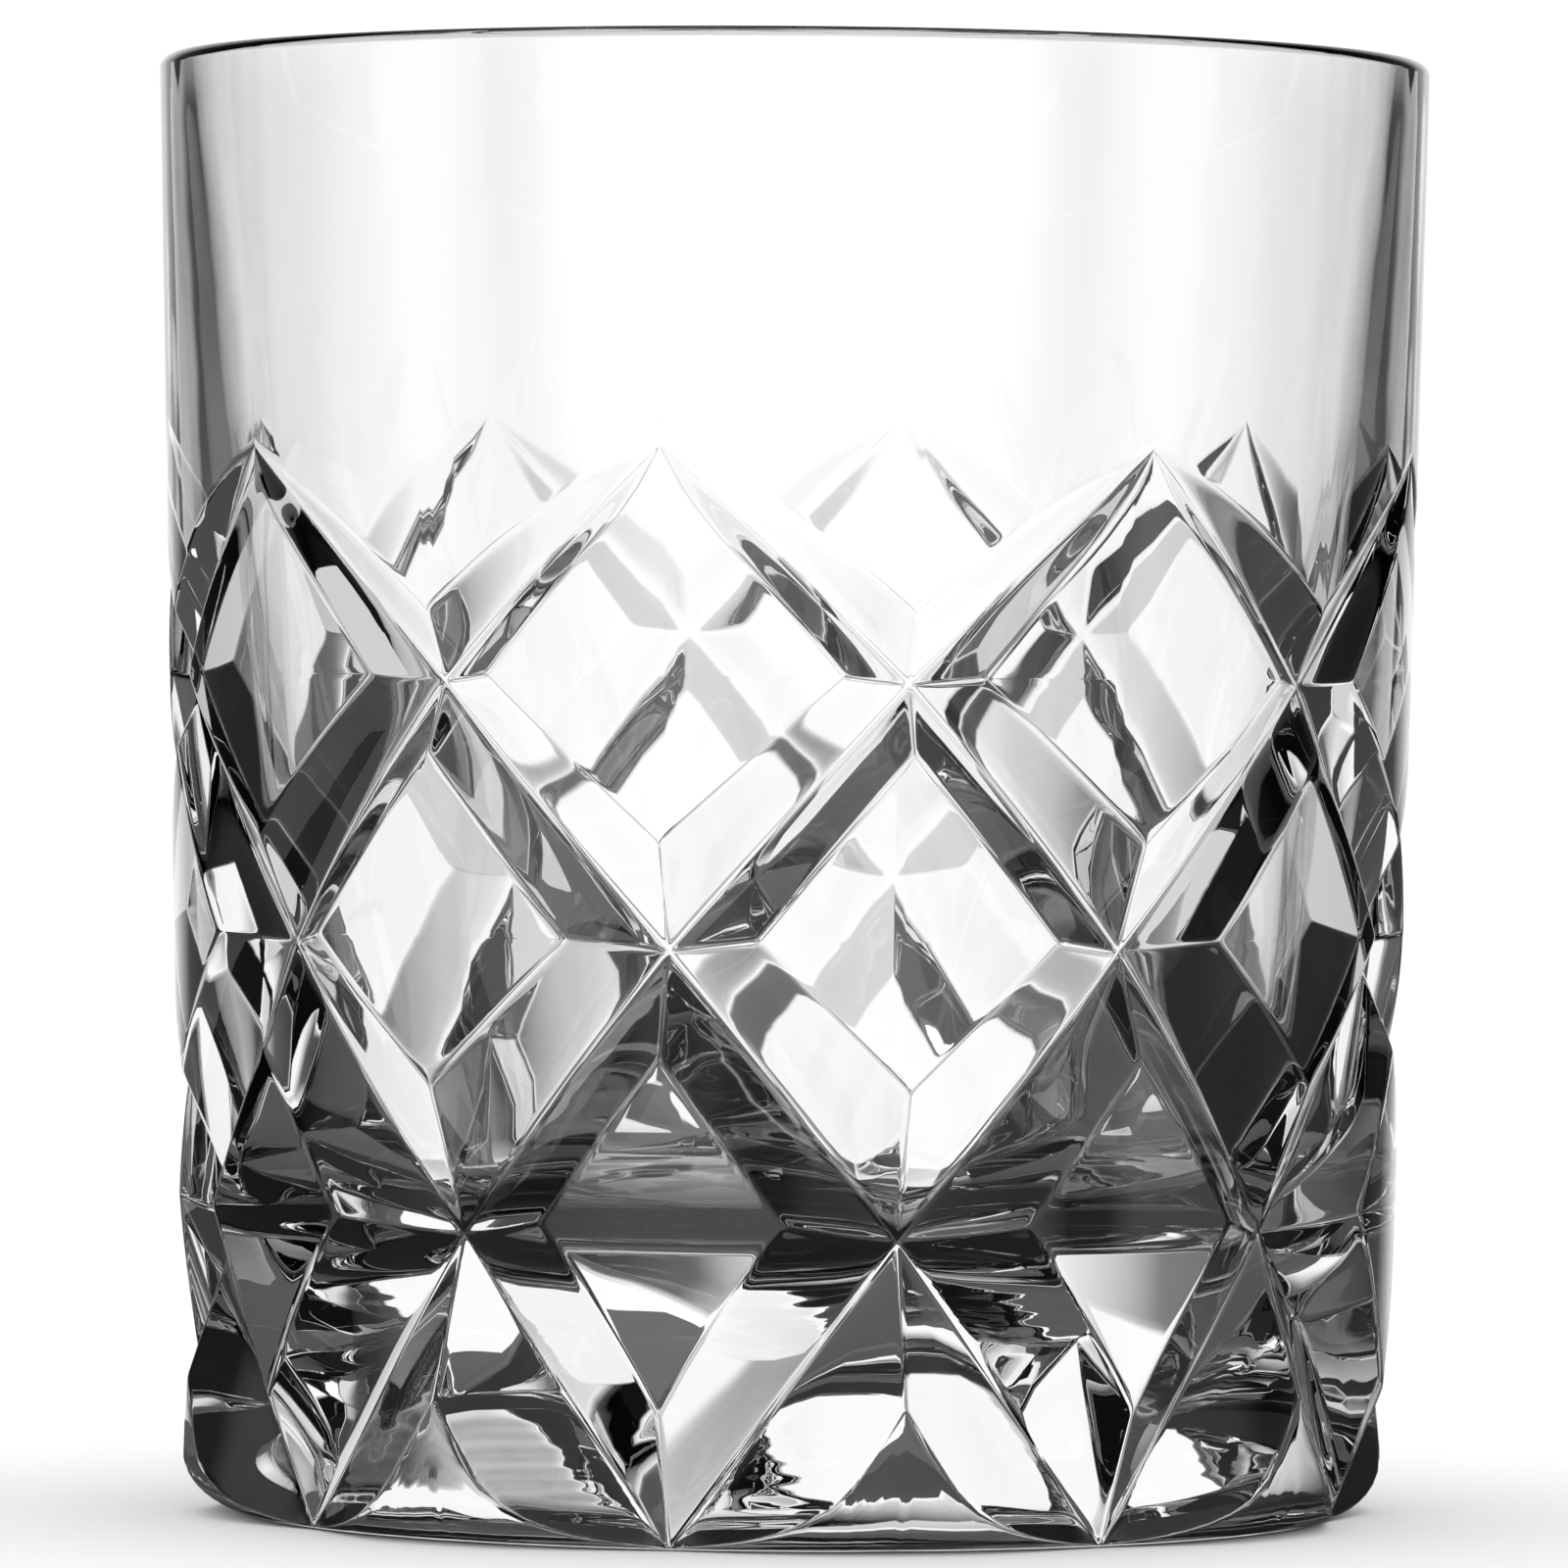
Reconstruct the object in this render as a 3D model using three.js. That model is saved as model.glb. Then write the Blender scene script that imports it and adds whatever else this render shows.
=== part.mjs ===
// A cut-crystal whiskey tumbler, one solid piece of glass: a turned blank with a tapered cavity,
// and V-grooves cut round its outside that cross and leave rows of diamond-shaped flats.
// Millimetres, +Z up. The origin is the centre of the circle that the glass stands on.
import * as THREE from "three";
import { mergeVertices } from "three/addons/utils/BufferGeometryUtils.js";

// The blank's outside.
const HEIGHT = 96;
const RIM_RADIUS = 42;
const OUTER_TAPER = 0.023; // radius lost per millimetre down the wall
const RIM_ROUND = 0.9; // height of the rounded lip
const HEEL_HEIGHT = 4;
const HEEL_WIDTH = 5;
const FOOT_WIDTH = 4.8; // flat ring that the glass stands on
const RECESS_SLOPE = 2.5;
const RECESS_DEPTH = 0.8;

// The cavity.
const MOUTH_RADIUS = 40;
const CAVITY_TAPER = 0.1;
const FLOOR_HEIGHT = 18.5;
const FLOOR_FILLET = 8;

// The cut pattern. Eight grooves wind down to the right from eight tips and eight to the left,
// and cross every half sector. Crossings are numbered from the tips, which are crossing 0.
const SECTORS = 8;
const PATTERN_TURN = -11.5; // degrees from the front to the nearest tip
const CROSSING_HEIGHTS = [69.8, 54.85, 37.94, 19.72, 0];
const FIRST_DEPTH = 1.95; // valley depth at crossing 1
const DEPTH_STEP = 0.9; // more depth at each later crossing
const FACE_SLOPE = 0.62; // depth lost per millimetre away from the valley
const LOW_FACE_START = 2.5; // from half a crossing past this number
const LOW_FACE_EASE = 0.89; // the faces below the valley lean back to this share of the slope
const EXIT_START = 3.42; // past this number the grooves rise towards the foot
const EXIT_RISE = 3.57;
const TIP_REACH = 5.15; // the face under a tip widens by this much along the first groove
const TIP_BELLY = 15.1; // and bulges by this much close to the tip
const TIP_BELLY_FADE = 5;

// How finely the faces are divided.
const EDGE_STEPS = 4;
const FLAT_COLUMNS = 3;
const BAND_ROWS = 2;
const HEEL_ROWS = 5;
const WALL_ROWS = 5;
const ROUND_STEPS = 5;

const HALF_SECTOR = Math.PI / SECTORS;
const LAST_SEGMENT = CROSSING_HEIGHTS.length - 2;
const { lerp, clamp, degToRad } = THREE.MathUtils;

function outerRadius(z) {
  return RIM_RADIUS - OUTER_TAPER * (HEIGHT - z);
}

function mouthRadius(z) {
  return MOUTH_RADIUS - CAVITY_TAPER * (HEIGHT - z);
}

// How far the rounded heel lies inside the outer cone.
function heelInset(z) {
  const down = clamp((HEEL_HEIGHT - z) / HEEL_HEIGHT, 0, 1);
  return HEEL_WIDTH * (1 - Math.sqrt(1 - down * down));
}

// A groove position n runs from 0 at the tip to 4 at the foot, with a crossing at each whole number.
function valleyHeight(n) {
  const segment = clamp(Math.floor(n), 0, LAST_SEGMENT);
  return lerp(CROSSING_HEIGHTS[segment], CROSSING_HEIGHTS[segment + 1], n - segment);
}

function valleyDepth(n) {
  if (n <= 1) return FIRST_DEPTH * (1 - (1 - n) ** 2);
  const exit = Math.max(n - EXIT_START, 0);
  return FIRST_DEPTH + DEPTH_STEP * (n - 1) - EXIT_RISE * exit ** 2;
}

// The depth that a groove face loses per millimetre straight up or down from its valley: a steep
// segment's faces fall away more slowly that way. It changes evenly from segment to segment.
function segmentSlope(segment) {
  const drop = CROSSING_HEIGHTS[segment] - CROSSING_HEIGHTS[segment + 1];
  const middle = outerRadius(CROSSING_HEIGHTS[segment] - drop / 2);
  return FACE_SLOPE * Math.cos(Math.atan2(drop, middle * HALF_SECTOR));
}

function slopeAbove(n) {
  const along = clamp(n - 0.5, 0, LAST_SEGMENT);
  const segment = Math.min(Math.floor(along), LAST_SEGMENT - 1);
  return lerp(segmentSlope(segment), segmentSlope(segment + 1), along - segment);
}

function slopeBelow(n) {
  const low = clamp((n - LOW_FACE_START) / 0.5, 0, 1);
  return slopeAbove(n) * lerp(1, LOW_FACE_EASE, low);
}

// Across a half sector x runs from 0, at a tip, to 1, midway to the next tip. Segment k of the
// grooves joins crossings k and k + 1, and zigzags across the half sector.
function positionAt(x, segment) {
  return segment % 2 === 0 ? segment + x : segment + 1 - x;
}

// The height of a segment's valley, and of the flats' edges above and below it.
function valleyAt(x, segment) {
  return valleyHeight(positionAt(x, segment));
}

function edgeAbove(x, segment) {
  const n = positionAt(x, segment);
  return valleyHeight(n) + valleyDepth(n) / slopeAbove(n);
}

function edgeBelow(x, segment) {
  if (segment === 0) {
    const belly = TIP_BELLY * x * (1 - x) ** TIP_BELLY_FADE;
    return valleyAt(x, 0) - TIP_REACH * x - belly;
  }
  const n = positionAt(x, segment);
  return valleyHeight(n) - valleyDepth(n) / slopeBelow(n);
}

// The lowest flats run down over the heel, so their edge is where the groove face meets it.
function heelEdge(x) {
  const n = positionAt(x, LAST_SEGMENT);
  return rootBetween(
    (z) => valleyDepth(n) - slopeBelow(n) * (valleyHeight(n) - z) - heelInset(z),
    0,
    valleyHeight(n) + HEEL_HEIGHT,
  );
}

// The place between two ends where a rising function is zero.
function rootBetween(f, low, high) {
  let [a, b] = [low, high];
  const rising = f(b) > f(a);
  for (let i = 0; i < 50; i++) {
    const middle = (a + b) / 2;
    if (f(middle) > 0 === rising) b = middle;
    else a = middle;
  }
  return (a + b) / 2;
}

// A point on the outside: across the half sector, up, and how deep under the outer cone.
function point(x, z, inset) {
  return { x, z, inset };
}

function rail(fromX, toX, heightAt, insetAt) {
  const points = [];
  for (let i = 0; i <= EDGE_STEPS; i++) {
    const x = lerp(fromX, toX, i / EDGE_STEPS);
    const z = heightAt(x);
    points.push(point(x, z, insetAt(x, z)));
  }
  return points;
}

const onCone = () => 0;
const onHeel = (x, z) => heelInset(z);

// Triangles, gathered as positions.
const positions = [];

function addTriangle(a, b, c) {
  if (a.equals(b) || b.equals(c) || c.equals(a)) return;
  positions.push(...a, ...b, ...c);
}

// A sheet between two rows of points that were placed in space.
function addStrip(near, far) {
  for (let i = 0; i + 1 < near.length; i++) {
    addTriangle(near[i], near[i + 1], far[i + 1]);
    addTriangle(near[i], far[i + 1], far[i]);
  }
}

// Places a half-sector point on every sector, on the tip's right side or mirrored on its left.
function place(p, sector, side) {
  const turn = (2 * sector + side * p.x) * HALF_SECTOR + degToRad(PATTERN_TURN);
  const radius = outerRadius(p.z) - p.inset;
  return new THREE.Vector3(radius * Math.sin(turn), -radius * Math.cos(turn), p.z);
}

// Twice the area between two rails, positive where the near rail runs to the right below the far one.
function areaBetween(near, far) {
  let area = 0;
  for (let i = 0; i + 1 < near.length; i++) {
    const [a, b, c, d] = [near[i], near[i + 1], far[i + 1], far[i]];
    area += (c.x - a.x) * (d.z - b.z) - (c.z - a.z) * (d.x - b.x);
  }
  return area;
}

// A ruled sheet between two rails of the half sector, repeated round the glass. A curved sheet
// takes its inset from the surface that it lies on.
function addSheet(near, far, rows = 1, insetAt = null) {
  const upright = areaBetween(near, far) > 0;
  const lines = [];
  for (let row = 0; row <= rows; row++) {
    const t = row / rows;
    lines.push(
      near.map((p, i) => {
        const z = (1 - t) * p.z + t * far[i].z;
        const x = (1 - t) * p.x + t * far[i].x;
        const inset = insetAt ? insetAt(x, z) : (1 - t) * p.inset + t * far[i].inset;
        return point(x, z, inset);
      }),
    );
  }
  for (let sector = 0; sector < SECTORS; sector++) {
    for (const side of [1, -1]) {
      const placed = lines.map((line) => line.map((p) => place(p, sector, side)));
      if (upright !== side > 0) placed.reverse();
      for (let row = 0; row < rows; row++) addStrip(placed[row], placed[row + 1]);
    }
  }
}

const footHeight = heelEdge(0);
const footCorner = point(0, footHeight, heelInset(footHeight));

const valleys = [];
for (let segment = 0; segment <= LAST_SEGMENT; segment++) {
  const start = segment % 2;
  const depthAt = (x) => valleyDepth(positionAt(x, segment));
  valleys.push(rail(start, 1 - start, (x) => valleyAt(x, segment), depthAt));
}
valleys[LAST_SEGMENT][EDGE_STEPS] = footCorner;

// One row of diamond flats with the two groove faces beside it.
function addFlatRow(row) {
  const middle = (row - 1) % 2;
  const cornerX = rootBetween((x) => edgeBelow(x, row - 1) - edgeAbove(x, row), 0, 1);
  const upperEdge = rail(middle, cornerX, (x) => edgeBelow(x, row - 1), onCone);
  const lowerEdge = rail(cornerX, middle, (x) => edgeAbove(x, row), onCone);
  lowerEdge[0] = upperEdge[EDGE_STEPS];
  const outline = [...upperEdge, ...lowerEdge.slice(1)];
  const middleLine = outline.map((p) => point(middle, p.z, 0));
  addSheet(middleLine, outline, FLAT_COLUMNS);
  addSheet(upperEdge, valleys[row - 1]);
  addSheet(lowerEdge, valleys[row]);
}

// The plain band over the grooves, down to the curved edge between the tips.
function addBand() {
  const bandEdge = rail(0, 1, (x) => edgeAbove(x, 0), onCone);
  const bandTop = rail(0, 1, () => HEIGHT - RIM_ROUND, onCone);
  addSheet(valleys[0], bandEdge);
  addSheet(bandEdge, bandTop, BAND_ROWS);
}

// The lowest flats, which widen down the heel to the foot.
function addHeel() {
  const edge = rail(1, 0, heelEdge, onHeel);
  edge[EDGE_STEPS] = footCorner;
  const foot = rail(1, 0, () => 0, onHeel);
  addSheet(edge, valleys[LAST_SEGMENT]);
  addSheet(foot, edge, HEEL_ROWS, onHeel);
}

// A quarter of an ellipse from its side to its top, without the first point.
function roundCorner(centreR, centreZ, reachR, reachZ) {
  const points = [];
  for (let i = 1; i <= ROUND_STEPS; i++) {
    const angle = ((i / ROUND_STEPS) * Math.PI) / 2;
    points.push([centreR + reachR * Math.cos(angle), centreZ + reachZ * Math.sin(angle)]);
  }
  return points;
}

// From the top of the band over the rounded lip, down the cavity and across its floor.
function insideProfile() {
  const lipZ = HEIGHT - RIM_ROUND;
  const outer = outerRadius(lipZ);
  const inner = mouthRadius(lipZ);
  const lipR = (outer + inner) / 2;
  const reach = (outer - inner) / 2;
  const lip = roundCorner(lipR, lipZ, reach, RIM_ROUND);
  const lipBack = roundCorner(lipR, lipZ, -reach, RIM_ROUND).reverse().slice(1);
  const filletZ = FLOOR_HEIGHT + FLOOR_FILLET;
  const wall = [];
  for (let i = 0; i <= WALL_ROWS; i++) {
    const z = lerp(lipZ, filletZ, i / WALL_ROWS);
    wall.push([mouthRadius(z), z]);
  }
  const filletR = mouthRadius(filletZ) - FLOOR_FILLET;
  const fillet = roundCorner(filletR, filletZ, FLOOR_FILLET, -FLOOR_FILLET);
  return [[outer, lipZ], ...lip, ...lipBack, ...wall, ...fillet, [0, FLOOR_HEIGHT]];
}

// From the middle of the shallow recess under the base out to the edge of the foot.
function undersideProfile() {
  const footR = outerRadius(0) - HEEL_WIDTH;
  const innerR = footR - FOOT_WIDTH;
  return [
    [0, RECESS_DEPTH],
    [innerR - RECESS_SLOPE, RECESS_DEPTH],
    [innerR, 0],
    [footR, 0],
  ];
}

// Turns a profile round the axis on the same columns as the outside.
function addTurned(profile) {
  const ring = ([radius, z]) => rail(0, 1, () => z, () => outerRadius(z) - radius);
  for (let i = 0; i + 1 < profile.length; i++) {
    const [near, far] = [ring(profile[i]), ring(profile[i + 1])];
    for (let sector = 0; sector < SECTORS; sector++) {
      for (const side of [1, -1]) {
        const pair = [near, far].map((line) => line.map((p) => place(p, sector, side)));
        if (side < 0) pair.reverse();
        addStrip(...pair);
      }
    }
  }
}

function tumblerGeometry() {
  addBand();
  for (let row = 1; row <= LAST_SEGMENT; row++) addFlatRow(row);
  addHeel();
  addTurned(insideProfile());
  addTurned(undersideProfile());
  const geometry = new THREE.BufferGeometry();
  geometry.setAttribute("position", new THREE.Float32BufferAttribute(positions, 3));
  return mergeVertices(geometry);
}

const crystal = new THREE.MeshStandardMaterial({
  color: 0xf2f5f6,
  roughness: 0.03,
  metalness: 0,
  transparent: true,
  opacity: 0.35,
});

const tumbler = new THREE.Mesh(tumblerGeometry(), crystal);
tumbler.name = "tumbler";
tumbler.geometry.computeVertexNormals();

const part = new THREE.Group();
part.add(tumbler);

export default part;
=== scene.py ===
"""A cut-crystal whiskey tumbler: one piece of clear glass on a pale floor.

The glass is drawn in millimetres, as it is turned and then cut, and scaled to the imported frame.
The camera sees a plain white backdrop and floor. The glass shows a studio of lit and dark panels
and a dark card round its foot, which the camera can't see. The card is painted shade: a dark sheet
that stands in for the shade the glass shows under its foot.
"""

import math

import bpy
import numpy as np
from mathutils import Matrix, Vector


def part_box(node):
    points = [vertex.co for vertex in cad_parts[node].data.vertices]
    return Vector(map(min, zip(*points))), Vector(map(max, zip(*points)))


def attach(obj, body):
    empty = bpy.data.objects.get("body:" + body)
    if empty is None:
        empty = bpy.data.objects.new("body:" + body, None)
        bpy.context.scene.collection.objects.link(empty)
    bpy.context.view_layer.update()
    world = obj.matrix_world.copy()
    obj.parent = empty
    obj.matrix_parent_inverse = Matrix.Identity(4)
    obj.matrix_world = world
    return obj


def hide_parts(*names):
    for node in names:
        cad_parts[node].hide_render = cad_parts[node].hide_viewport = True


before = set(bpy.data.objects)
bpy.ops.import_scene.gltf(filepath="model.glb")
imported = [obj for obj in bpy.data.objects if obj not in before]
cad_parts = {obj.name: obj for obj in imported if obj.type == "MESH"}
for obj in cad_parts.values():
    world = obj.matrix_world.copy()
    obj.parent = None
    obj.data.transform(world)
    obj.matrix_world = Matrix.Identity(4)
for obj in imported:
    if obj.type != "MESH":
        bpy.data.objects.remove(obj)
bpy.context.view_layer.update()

# The blank's outside, in millimetres.
HEIGHT = 96.0
RIM_RADIUS = 42.0
OUTER_TAPER = 0.023
RIM_ROUND = 0.9
HEEL_HEIGHT = 4.0
HEEL_WIDTH = 5.0
FOOT_WIDTH = 4.8
RECESS_SLOPE = 2.5
RECESS_DEPTH = 0.8

# The cavity.
MOUTH_RADIUS = 40.0
CAVITY_TAPER = 0.1
FLOOR_HEIGHT = 18.5
FLOOR_FILLET = 8.0

# The cut pattern. Eight grooves wind down to the right from eight tips and eight to the left, and
# cross every half sector. A groove position n counts the crossings down from the tip.
SECTORS = 8
PATTERN_TURN = math.radians(-11.5)
CROSSING_HEIGHTS = np.array([69.8, 54.85, 37.94, 19.72, 0.0])
FIRST_DEPTH = 1.95
DEPTH_STEP = 0.9
FACE_SLOPE = 0.62
LOW_FACE_START = 2.5
LOW_FACE_EASE = 0.89
EXIT_START = 3.42
EXIT_RISE = 3.57
TIP_REACH = 5.15
TIP_BELLY = 15.1
TIP_BELLY_FADE = 5
TIP_START = 1e-4
TIP_END = 0.72

# Polishing leaves the valleys and the edges slightly round. Shallow valleys are rounded less.
VALLEY_ROUND = 0.45
EDGE_ROUND = 0.18
SHALLOW = 0.3

# How finely the faces are divided: at these distances from a crease, and evenly between them.
NEAR_CREASE = np.array([0.0, 0.05, 0.13, 0.28, 0.6])
FACE_STEPS = 4
RAIL_STEPS = 10
FLAT_STEPS = 5
BAND_STEPS = 8
HEEL_STEPS = 12
WALL_STEPS = 22
ROUND_STEPS = 10
BISECTIONS = 50
SAME_POINT = 1e-4

# The crystal. Polishing waves, in metres and waves per metre, grow from the wall's start down to the
# top of the base.
CRYSTAL_IOR = 1.6
WAVE_SCALE = 110.0
WAVE_HEIGHT = 0.0003
CUT_WAVES = 0.05
INSIDE_WAVES = 0.12
BASE_WAVES = 4.0
WALL_START = 0.034
BASE_TOP = 0.018

# What the glass shows of the studio: light levels by degrees around from straight behind it, and by
# degrees up. The pale table's light is used where it is the brighter of the two.
PANELS = [(0, 1.05), (17, 1.05), (24, 0.6), (29, 0.12), (40, 0.04), (60, 0.02), (84, 0.02), (90, 0.7),
          (112, 0.8), (118, 0.15), (126, 0.15), (132, 0.8), (150, 1.1), (180, 1.15)]
PANEL_HEIGHT = [(-90, 0.1), (-26, 0.2), (-18, 0.7), (-13, 1.0), (10, 1.0), (26, 0.5), (38, 0.15),
                (60, 0.03)]
TABLE_LIGHT = [(-90, 0.7), (-17, 0.7), (-11, 0.15), (-8, 0.0)]

# The floor and the light on it, and the card that only the glass shows, in metres. The card is
# painted shade: a dark sheet standing in for the shade under the glass.
FLOOR_LIGHT = 1.25
FLOOR_REACH = 40.0
FLOOR_GREY = 0.96
CARD_RADIUS = 0.098
CARD_LIFT = 0.0002
CARD_SIDES = 64
# The card's grey is painted shade, seen only through the glass.
CARD_PAINTED_SHADE_GREY = 0.09
CARD_ROUGHNESS = 0.9

# The camera, in metres and degrees, with its lens and sensor in millimetres.
CAMERA_PLACE = (0, -0.751, 0.0553)
CAMERA_YAW = 0.029
CAMERA_DIP = 0.545
CAMERA_ROLL = 0.422
LENS = 260.4
SENSOR_WIDTH = 36
VIEW_REACH = 50

HALF_SECTOR = math.pi / SECTORS
LAST_CROSSING = len(CROSSING_HEIGHTS) - 1
LAST_SEGMENT = LAST_CROSSING - 1


def outer_radius(z):
    return RIM_RADIUS - OUTER_TAPER * (HEIGHT - z)


def mouth_radius(z):
    return MOUTH_RADIUS - CAVITY_TAPER * (HEIGHT - z)


def heel_inset(z):
    """How far the rounded heel lies inside the outer cone."""
    down = np.clip((HEEL_HEIGHT - z) / HEEL_HEIGHT, 0, 1)
    return HEEL_WIDTH * (1 - np.sqrt(1 - down**2))


def valley_height(n):
    last_drop = CROSSING_HEIGHTS[LAST_SEGMENT] - CROSSING_HEIGHTS[LAST_CROSSING]
    below_foot = np.maximum(n - LAST_CROSSING, 0) * last_drop
    return np.interp(n, np.arange(LAST_CROSSING + 1), CROSSING_HEIGHTS) - below_foot


def valley_depth(n):
    near_tip = FIRST_DEPTH * (1 - (1 - n) ** 2)
    leaving = np.maximum(n - EXIT_START, 0)
    rest = FIRST_DEPTH + DEPTH_STEP * (n - 1) - EXIT_RISE * leaving**2
    return np.where(n <= 1, near_tip, rest)


def segment_slopes():
    """The depth that each segment's faces lose per millimetre straight up or down."""
    drops = CROSSING_HEIGHTS[:-1] - CROSSING_HEIGHTS[1:]
    widths = outer_radius(CROSSING_HEIGHTS[:-1] - drops / 2) * HALF_SECTOR
    return FACE_SLOPE * np.cos(np.arctan2(drops, widths))


SEGMENT_SLOPES = segment_slopes()


def slope_above(n):
    return np.interp(n, np.arange(LAST_CROSSING) + 0.5, SEGMENT_SLOPES)


def tip_drop(x):
    """How far below its valley the first segment's lower edge lies."""
    return TIP_REACH * x + TIP_BELLY * x * (1 - x) ** TIP_BELLY_FADE


def slope_below(n):
    low = np.clip((n - LOW_FACE_START) / 0.5, 0, 1)
    plain = slope_above(n) * (1 + (LOW_FACE_EASE - 1) * low)
    x = np.clip(n, TIP_START, TIP_END)
    near_tip = valley_depth(x) / tip_drop(x)
    join = np.clip((n - TIP_END) / (1 - TIP_END), 0, 1)
    return np.where(n < 1, near_tip + (slope_above(1.0) - near_tip) * join, plain)


def groove_cut(n, z):
    """How deep a groove cuts into the outer cone at position n and height z."""
    depth = valley_depth(n)
    rise = z - valley_height(n)
    opened = np.maximum(depth, 0)
    rounding = VALLEY_ROUND * opened / (opened + SHALLOW)
    slope = np.where(rise > 0, slope_above(n), slope_below(n))
    return depth - slope * np.sqrt(rise**2 + rounding**2)


def smooth_max(a, b):
    """The larger of the two, rounded off where they are within EDGE_ROUND of each other."""
    close = np.maximum(EDGE_ROUND - np.abs(a - b), 0)
    return np.maximum(a, b) + close**2 / (4 * EDGE_ROUND)


def outside_inset(x, z):
    """How far the finished outside lies inside the outer cone, x across a half sector and z up."""
    right = np.maximum(groove_cut(x, z), groove_cut(2 + x, z))
    left = np.maximum(groove_cut(2 - x, z), groove_cut(4 - x, z))
    past_foot = groove_cut(4 + x, z)
    cut = smooth_max(np.maximum(right, past_foot), left)
    return smooth_max(heel_inset(z), cut)


# The half sector's creases, as rails of (x, z) points: valleys, and the edges of the flats.


def position_at(x, segment):
    return segment + x if segment % 2 == 0 else segment + 1 - x


def valley(x, segment):
    return valley_height(position_at(x, segment))


def edge_above(x, segment):
    n = position_at(x, segment)
    return valley_height(n) + valley_depth(n) / slope_above(n)


def edge_below(x, segment):
    n = position_at(x, segment)
    return valley_height(n) - valley_depth(n) / slope_below(n)


def root_between(f, low, high):
    """Where f changes sign, for each pair of ends."""
    low, high = np.array(low, float), np.array(high, float)
    rising = f(high) > f(low)
    for _ in range(BISECTIONS):
        middle = (low + high) / 2
        over = (f(middle) > 0) == rising
        high = np.where(over, middle, high)
        low = np.where(over, low, middle)
    return (low + high) / 2


def heel_edge(x):
    """The lowest flats' edge, where the groove faces meet the heel."""
    n = position_at(x, LAST_SEGMENT)

    def over_heel(z):
        return valley_depth(n) - slope_below(n) * (valley_height(n) - z) - heel_inset(z)

    return root_between(over_heel, np.zeros_like(n), valley_height(n) + HEEL_HEIGHT)


def graded(length, steps, start=NEAR_CREASE, end=NEAR_CREASE):
    """Fractions of a length, close together near its ends and even between."""
    shortest = 2 * (start[-1] + end[-1]) if len(end) else 2 * start[-1]
    shown = np.maximum(np.asarray(length, float), shortest)[..., None]
    head = start / shown
    tail = 1 - end[::-1] / shown
    first, last = head[..., -1:], tail[..., :1]
    inner = np.arange(1, steps) / steps
    return np.concatenate([head, first + (last - first) * inner, tail], axis=-1)


ONLY_END = np.array([0.0])


def rail(x_from, x_to, height_at):
    arc = abs(x_to - x_from) * HALF_SECTOR * RIM_RADIUS
    ends = height_at(np.array([x_from, x_to], float))
    t = graded(math.hypot(arc, ends[1] - ends[0]), RAIL_STEPS)
    x = (1 - t) * x_from + t * x_to
    return np.stack([x, height_at(x)], axis=-1)


def distance(near, far):
    across = (far[:, 0] - near[:, 0]) * HALF_SECTOR * outer_radius(near[:, 1])
    return np.hypot(across, far[:, 1] - near[:, 1])


def sheet(near, far, fractions):
    """A grid of points ruled from one rail to another."""
    t = fractions[..., None]
    return (1 - t) * near[:, None] + t * far[:, None]


def face_sheet(valley_rail, edge_rail):
    return sheet(valley_rail, edge_rail, graded(distance(valley_rail, edge_rail), FACE_STEPS))


def valley_rails():
    rails = []
    for segment in range(LAST_CROSSING):
        start = segment % 2
        rails.append(rail(start, 1 - start, lambda x: valley(x, segment)))
    return rails


def flat_row_sheets(row, valleys):
    """One row of diamond flats with the groove faces above and below it."""
    middle = (row - 1) % 2
    corner = float(root_between(lambda x: edge_below(x, row - 1) - edge_above(x, row), 0, 1))
    upper = rail(middle, corner, lambda x: edge_below(x, row - 1))
    lower = rail(corner, middle, lambda x: edge_above(x, row))
    if row == 1:
        upper[0, 1] = CROSSING_HEIGHTS[0]
    lower[0] = upper[-1]
    outline = np.concatenate([upper, lower[1:]])
    middle_line = np.stack([np.full(len(outline), float(middle)), outline[:, 1]], axis=-1)
    flat_t = graded(distance(middle_line, outline), FLAT_STEPS, start=ONLY_END)
    yield "flat", sheet(middle_line, outline, flat_t)
    yield "cut", face_sheet(valleys[row - 1], upper)
    yield "cut", face_sheet(valleys[row], lower)


def band_sheets(valleys):
    edge = rail(0, 1, lambda x: edge_above(x, 0))
    edge[0, 1] = CROSSING_HEIGHTS[0]
    top = np.stack([edge[:, 0], np.full(len(edge), HEIGHT - RIM_ROUND)], axis=-1)
    yield "cut", face_sheet(valleys[0], edge)
    yield "flat", sheet(edge, top, graded(distance(edge, top), BAND_STEPS, end=ONLY_END))


def heel_sheets(valleys):
    edge = rail(1, 0, heel_edge)
    valleys[LAST_SEGMENT][-1] = edge[-1]
    foot = np.stack([edge[:, 0], np.zeros(len(edge))], axis=-1)
    turn = np.linspace(0, math.pi / 2, HEEL_STEPS + 1)
    up = np.broadcast_to(1 - np.cos(turn), (len(edge), HEEL_STEPS + 1))
    yield "flat", sheet(foot, edge, up)
    yield "cut", face_sheet(valleys[LAST_SEGMENT], edge)


# The whole mesh: sheets of the half sector, and the turned surfaces on the same columns.


def corner_round(centre_r, centre_z, reach_r, reach_z):
    turn = np.linspace(0, math.pi / 2, ROUND_STEPS + 1)
    return np.stack([centre_r + reach_r * np.cos(turn), centre_z + reach_z * np.sin(turn)], axis=-1)


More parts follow.
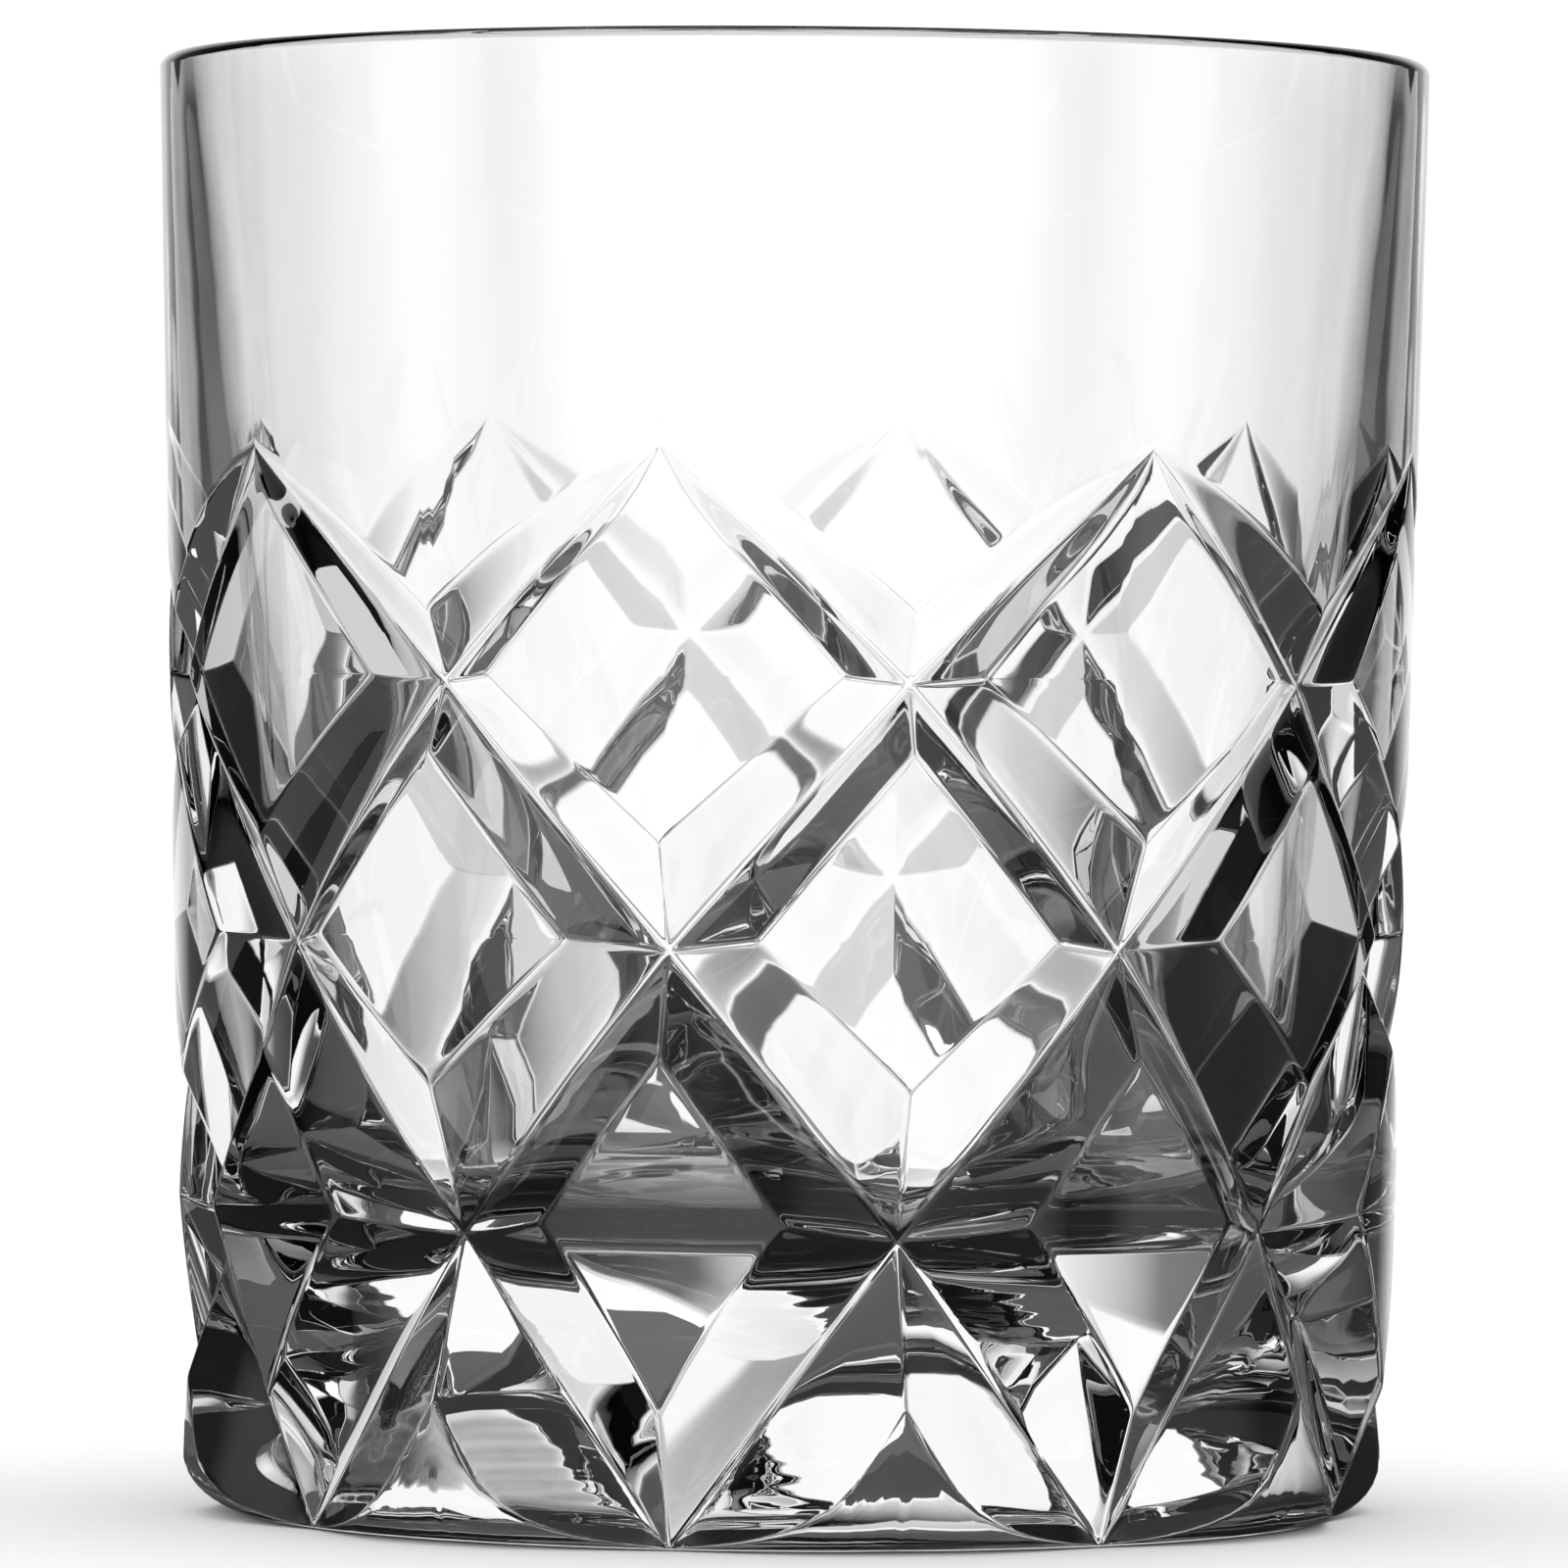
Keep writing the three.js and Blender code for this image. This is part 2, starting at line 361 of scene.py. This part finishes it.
def inside_profile():
    """From the top of the band over the lip, down the cavity and across its floor."""
    lip_z = HEIGHT - RIM_ROUND
    outer, inner = outer_radius(lip_z), mouth_radius(lip_z)
    middle, reach = (outer + inner) / 2, (outer - inner) / 2
    lip_out = corner_round(middle, lip_z, reach, RIM_ROUND)
    lip_in = corner_round(middle, lip_z, -reach, RIM_ROUND)[::-1]
    fillet_z = FLOOR_HEIGHT + FLOOR_FILLET
    wall_z = np.linspace(lip_z, fillet_z, WALL_STEPS + 1)[1:-1]
    wall = np.stack([mouth_radius(wall_z), wall_z], axis=-1)
    fillet_r = mouth_radius(fillet_z) - FLOOR_FILLET
    fillet = corner_round(fillet_r, fillet_z, FLOOR_FILLET, -FLOOR_FILLET)
    floor_r = np.linspace(fillet_r, 0, ROUND_STEPS + 1)[1:]
    floor = np.stack([floor_r, np.full(len(floor_r), FLOOR_HEIGHT)], axis=-1)
    return np.concatenate([lip_out, lip_in[1:], wall, fillet, floor])


def underside_profile():
    """From the middle of the shallow recess under the base out to the foot's edge."""
    foot_r = outer_radius(0) - HEEL_WIDTH
    ring_r = foot_r - FOOT_WIDTH
    slope_t = np.linspace(0, 1, ROUND_STEPS + 1)
    slope_z = RECESS_DEPTH * (1 + np.cos(math.pi * slope_t)) / 2
    slope = np.stack([ring_r - RECESS_SLOPE * (1 - slope_t), slope_z], axis=-1)
    middle_r = np.linspace(0, ring_r - RECESS_SLOPE, ROUND_STEPS + 1)[:-1]
    middle = np.stack([middle_r, np.full(len(middle_r), RECESS_DEPTH)], axis=-1)
    return np.concatenate([middle, slope, [[foot_r, 0]]])


class HalfSector:
    """Points (x, inset, z) of the half sector and the faces between them."""

    def __init__(self):
        self.points = []
        self.quads = []
        self.kinds = []
        self.count = 0

    def add(self, grid, kind):
        rows, columns = grid.shape[:2]
        index = self.count + np.arange(rows * columns).reshape(rows, columns)
        quads = np.stack([index[:-1, :-1], index[1:, :-1], index[1:, 1:], index[:-1, 1:]], axis=-1)
        self.points.append(grid.reshape(-1, 3))
        self.quads.append(quads.reshape(-1, 4))
        self.kinds.append(np.full(quads.size // 4, kind))
        self.count += rows * columns

    def add_outside(self, grid, kind):
        """Adds a sheet of (x, z) points with its faces turned outward."""
        x, z = grid[..., 0], grid[..., 1]
        first, second = (x[1:, 1:] - x[:-1, :-1]), (z[:-1, 1:] - z[1:, :-1])
        third, fourth = (z[1:, 1:] - z[:-1, :-1]), (x[:-1, 1:] - x[1:, :-1])
        grid = np.stack([x, outside_inset(x, z), z], axis=-1)
        if (first * second - third * fourth).sum() < 0:
            grid = grid[::-1]
        self.add(grid, kind)

    def add_turned(self, profile, columns, kind):
        radius = np.broadcast_to(profile[:, 0], (len(columns), len(profile)))
        z = np.broadcast_to(profile[:, 1], radius.shape)
        x = np.broadcast_to(columns[:, None], radius.shape)
        self.add(np.stack([x, outer_radius(z) - radius, z], axis=-1), kind)


KINDS = {"flat": 0, "cut": 1, "inside": 2, "under": 3}


def half_sector():
    part = HalfSector()
    valleys = valley_rails()
    heel = list(heel_sheets(valleys))
    band = list(band_sheets(valleys))
    rows = [s for row in range(1, LAST_CROSSING) for s in flat_row_sheets(row, valleys)]
    for kind, grid in band + rows + heel:
        part.add_outside(grid, KINDS[kind])
    top_columns = band[1][1][:, -1, 0]
    foot_columns = heel[0][1][::-1, 0, 0]
    part.add_turned(inside_profile(), top_columns, KINDS["inside"])
    part.add_turned(underside_profile(), foot_columns, KINDS["under"])
    return part


def merged(points, quads, kinds):
    """Joins points that fall together, and drops the faces that this closes."""
    keys = np.round(points / SAME_POINT).astype(np.int64)
    _, first, group = np.unique(keys, axis=0, return_index=True, return_inverse=True)
    faces, face_kinds = [], []
    for quad, kind in zip(group.reshape(-1)[quads], kinds):
        face = [v for i, v in enumerate(quad) if v != quad[i - 1]]
        if len(set(face)) == len(face) >= 3:
            faces.append(face)
            face_kinds.append(kind)
    return points[first], faces, face_kinds


def whole_glass():
    """The half sector, mirrored and repeated round the axis, in millimetres."""
    part = half_sector()
    half = np.concatenate(part.points)
    quads = np.concatenate(part.quads)
    kinds = np.concatenate(part.kinds)
    points, all_quads = [], []
    for sector in range(SECTORS):
        for side in (1, -1):
            turn = (2 * sector + side * half[:, 0]) * HALF_SECTOR + PATTERN_TURN
            radius = outer_radius(half[:, 2]) - half[:, 1]
            all_quads.append((quads if side > 0 else quads[:, ::-1]) + len(points) * len(half))
            points.append(np.stack([radius * np.sin(turn), -radius * np.cos(turn), half[:, 2]], -1))
    every_kind = np.tile(kinds, len(points))
    return merged(np.concatenate(points), np.concatenate(all_quads), every_kind)


def make_tumbler():
    points, faces, kinds = whole_glass()
    low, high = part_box("tumbler")
    scale = (high.z - low.z) / HEIGHT
    mesh = bpy.data.meshes.new("crystal_tumbler")
    mesh.from_pydata([(scale * p).tolist() for p in points], [], [list(map(int, f)) for f in faces])
    kind = mesh.attributes.new("surface_kind", "FLOAT", "FACE")
    kind.data.foreach_set("value", np.array(kinds, float))
    mesh.polygons.foreach_set("use_smooth", np.ones(len(faces), bool))
    mesh.validate()
    mesh.update()
    tumbler = bpy.data.objects.new("crystal_tumbler", mesh)
    bpy.context.scene.collection.objects.link(tumbler)
    return tumbler


def math_node(tree, operation, *values):
    """The output of a math node on sockets and plain numbers."""
    node = tree.nodes.new("ShaderNodeMath")
    node.operation = operation
    for socket, value in zip(node.inputs, values):
        if isinstance(value, (int, float)):
            socket.default_value = value
        else:
            tree.links.new(value, socket)
    return node.outputs[0]


def map_range(tree, value, from_range, to_range):
    """The output of a node that maps one range on to another, and holds still past its ends."""
    node = tree.nodes.new("ShaderNodeMapRange")
    names = ("From Min", "From Max", "To Min", "To Max")
    for name, limit in zip(names, from_range + to_range):
        node.inputs[name].default_value = limit
    tree.links.new(value, node.inputs["Value"])
    return node.outputs["Result"]


def crystal_material():
    """Clear crystal. Polishing leaves it slightly wavy, the cut faces the least and the base the most."""
    material = bpy.data.materials.new("crystal")
    material.use_nodes = True
    tree = material.node_tree
    shader = tree.nodes["Principled BSDF"]
    shader.inputs["Base Color"].default_value = (1, 1, 1, 1)
    shader.inputs["Roughness"].default_value = 0.0
    shader.inputs["IOR"].default_value = CRYSTAL_IOR
    shader.inputs["Transmission Weight"].default_value = 1.0

    place = tree.nodes.new("ShaderNodeTexCoord").outputs["Object"]
    waves = tree.nodes.new("ShaderNodeTexNoise")
    waves.inputs["Scale"].default_value = WAVE_SCALE
    waves.inputs["Detail"].default_value = 1.0
    tree.links.new(place, waves.inputs["Vector"])
    kind = tree.nodes.new("ShaderNodeAttribute")
    kind.attribute_name = "surface_kind"
    split = tree.nodes.new("ShaderNodeSeparateXYZ")
    tree.links.new(place, split.inputs[0])
    kind_range = (KINDS["cut"], KINDS["inside"])
    by_kind = map_range(tree, kind.outputs["Fac"], kind_range, (CUT_WAVES, INSIDE_WAVES))
    by_height = map_range(tree, split.outputs["Z"], (WALL_START, BASE_TOP), (1.0, BASE_WAVES))
    amount = math_node(tree, "MULTIPLY", by_kind, by_height)
    bump = tree.nodes.new("ShaderNodeBump")
    bump.inputs["Distance"].default_value = WAVE_HEIGHT
    tree.links.new(math_node(tree, "MULTIPLY", waves.outputs["Fac"], amount), bump.inputs["Height"])
    tree.links.new(bump.outputs["Normal"], shader.inputs["Normal"])
    return material


def make_camera():
    data = bpy.data.cameras.new("camera")
    data.lens = LENS
    data.sensor_width = SENSOR_WIDTH
    data.clip_end = VIEW_REACH
    camera = bpy.data.objects.new("camera", data)
    bpy.context.scene.collection.objects.link(camera)
    yaw = Matrix.Rotation(math.radians(CAMERA_YAW), 4, "Z")
    tilt = Matrix.Rotation(math.radians(90 - CAMERA_DIP), 4, "X")
    roll = Matrix.Rotation(math.radians(CAMERA_ROLL), 4, "Z")
    place = Matrix.Translation(Vector(CAMERA_PLACE))
    camera.matrix_world = place @ yaw @ tilt @ roll
    bpy.context.scene.camera = camera


def ramp(tree, value, stops):
    """The grey level at a value, from (position, level) pairs."""
    node = tree.nodes.new("ShaderNodeValToRGB")
    elements = node.color_ramp.elements
    while len(elements) < len(stops):
        elements.new(0.5)
    for element, (position, level) in zip(elements, stops):
        element.position = position
        element.color = (level, level, level, 1)
    tree.links.new(value, node.inputs[0])
    return node.outputs[0]


def make_world():
    """What the glass shows: a lit panel straight behind it, dark flags beside it, and light elsewhere.

    The camera sees plain white instead, and plain white light falls on the floor.
    """
    world = bpy.data.worlds.new("studio")
    bpy.context.scene.world = world
    world.use_nodes = True
    tree = world.node_tree

    direction = tree.nodes.new("ShaderNodeSeparateXYZ")
    tree.links.new(tree.nodes.new("ShaderNodeTexCoord").outputs["Generated"], direction.inputs[0])
    x, y, z = direction.outputs
    turn = math_node(tree, "ABSOLUTE", math_node(tree, "ARCTAN2", x, y))
    around = math_node(tree, "DIVIDE", turn, math.pi)
    above = math_node(tree, "MULTIPLY_ADD", math_node(tree, "ARCSINE", z), 1 / math.pi, 0.5)

    panels = ramp(tree, around, [(angle / 180, level) for angle, level in PANELS])
    height = ramp(tree, above, [(0.5 + angle / 180, level) for angle, level in PANEL_HEIGHT])
    table = ramp(tree, above, [(0.5 + angle / 180, level) for angle, level in TABLE_LIGHT])
    lit = math_node(tree, "MAXIMUM", math_node(tree, "MULTIPLY", panels, height), table)

    path = tree.nodes.new("ShaderNodeLightPath")
    on_floor = math_node(tree, "MULTIPLY", path.outputs["Is Diffuse Ray"], FLOOR_LIGHT)
    plain = math_node(tree, "MAXIMUM", path.outputs["Is Camera Ray"], on_floor)
    background = tree.nodes["Background"]
    tree.links.new(math_node(tree, "MAXIMUM", plain, lit), background.inputs["Strength"])
    background.inputs["Color"].default_value = (1, 1, 1, 1)


def make_sheet(name, corners, material_name, grey, roughness):
    """A flat grey sheet, and its shader."""
    mesh = bpy.data.meshes.new(name)
    mesh.from_pydata(corners, [], [tuple(range(len(corners)))])
    sheet_object = bpy.data.objects.new(name, mesh)
    bpy.context.scene.collection.objects.link(sheet_object)
    material = bpy.data.materials.new(material_name)
    material.use_nodes = True
    shader = material.node_tree.nodes["Principled BSDF"]
    shader.inputs["Base Color"].default_value = (grey, grey, grey, 1)
    shader.inputs["Roughness"].default_value = roughness
    mesh.materials.append(material)
    return sheet_object, shader


def make_floor():
    """The pale floor. The glass doesn't show it."""
    corners = [(FLOOR_REACH * a, FLOOR_REACH * b, 0) for a, b in ((-1, -1), (1, -1), (1, 1), (-1, 1))]
    floor, shader = make_sheet("floor", corners, "pale_floor", FLOOR_GREY, 1.0)
    shader.inputs["Specular IOR Level"].default_value = 0.0
    floor.visible_transmission = False
    floor.visible_glossy = False
    return floor


def make_painted_shade_card():
    """A dark card round the foot: painted shade, standing in for the shade the glass shows under it.
    The glass shows it, and the camera and the floor don't.
    """
    turns = [2 * math.pi * i / CARD_SIDES for i in range(CARD_SIDES)]
    rim = [(CARD_RADIUS * math.cos(t), CARD_RADIUS * math.sin(t), CARD_LIFT) for t in turns]
    card, _ = make_sheet("card", rim, "painted_shade_card", CARD_PAINTED_SHADE_GREY, CARD_ROUGHNESS)
    card.visible_camera = False
    card.visible_diffuse = False
    card.visible_shadow = False
    return card


tumbler = make_tumbler()
tumbler.data.materials.append(crystal_material())
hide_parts("tumbler")
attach(tumbler, "root")
make_floor()
make_painted_shade_card()
make_camera()
make_world()
bpy.context.scene.view_settings.view_transform = "Standard"
